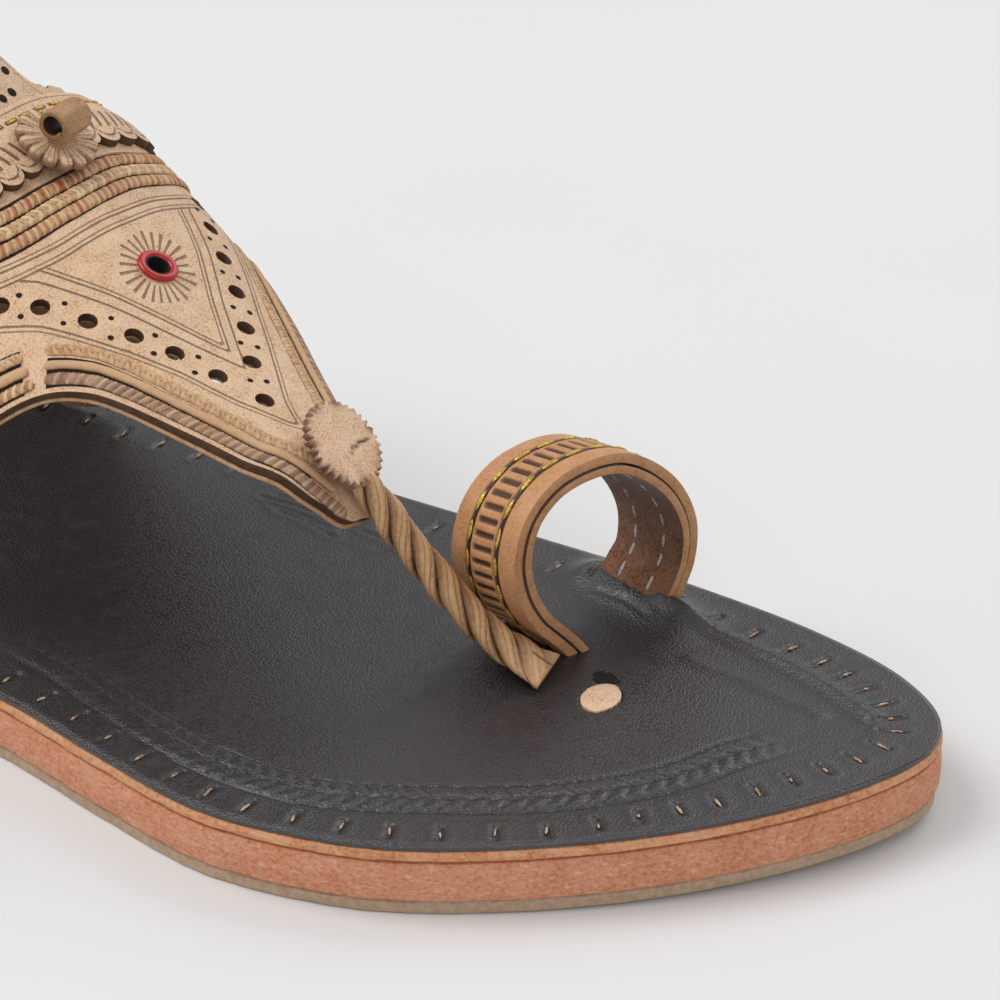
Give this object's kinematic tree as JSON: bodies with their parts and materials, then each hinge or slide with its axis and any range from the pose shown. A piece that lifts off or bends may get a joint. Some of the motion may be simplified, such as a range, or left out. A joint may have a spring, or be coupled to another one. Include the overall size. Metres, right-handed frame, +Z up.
{
  "type": "kolhapuri sandal",
  "caption": "Flat leather sandal with a toe ring, a perforated V-shaped upper with braided trim, a plaited toe strap and a low heel.",
  "frame": {"origin": "centre of the bounding box on the floor", "axes": "+X towards the toe, +Y towards the big toe side, +Z up"},
  "size_m": [0.2821, 0.106, 0.103],
  "materials": {
    "tan_leather": "waxed vegetable-tanned leather",
    "cord_leather": "braided leather strips",
    "footbed_leather": "dark pebbled leather",
    "sole_leather": "dyed layered sole leather",
    "edge_leather": "light burnished edge",
    "rubber": "matt ribbed rubber",
    "red_metal": "red enamel"
  },
  "bodies": {
    "root": {"outsole": "rubber", "midsole": "sole_leather", "top_sole": "edge_leather", "insole": "footbed_leather", "heel_lift": "sole_leather", "heel_top_piece": "rubber", "upper": "tan_leather", "front_braid_lateral_1": "cord_leather", "front_braid_lateral_2": "cord_leather", "front_braid_lateral_3": "cord_leather", "front_braid_medial_1": "cord_leather", "front_braid_medial_2": "cord_leather", "front_braid_medial_3": "cord_leather", "leg_braid_front_lateral": "cord_leather", "leg_braid_front_medial": "cord_leather", "cross_braid_1": "cord_leather", "cross_braid_2": "cord_leather", "cross_braid_3": "cord_leather", "instep_strap": "tan_leather", "rosette_apex": "tan_leather", "rosette_instep": "tan_leather", "knot_instep": "tan_leather", "plait": "tan_leather", "plait_tab": "tan_leather", "toe_ring": "tan_leather", "toe_ring_lining": "tan_leather", "eyelet": "red_metal"}
  },
  "joints": []
}
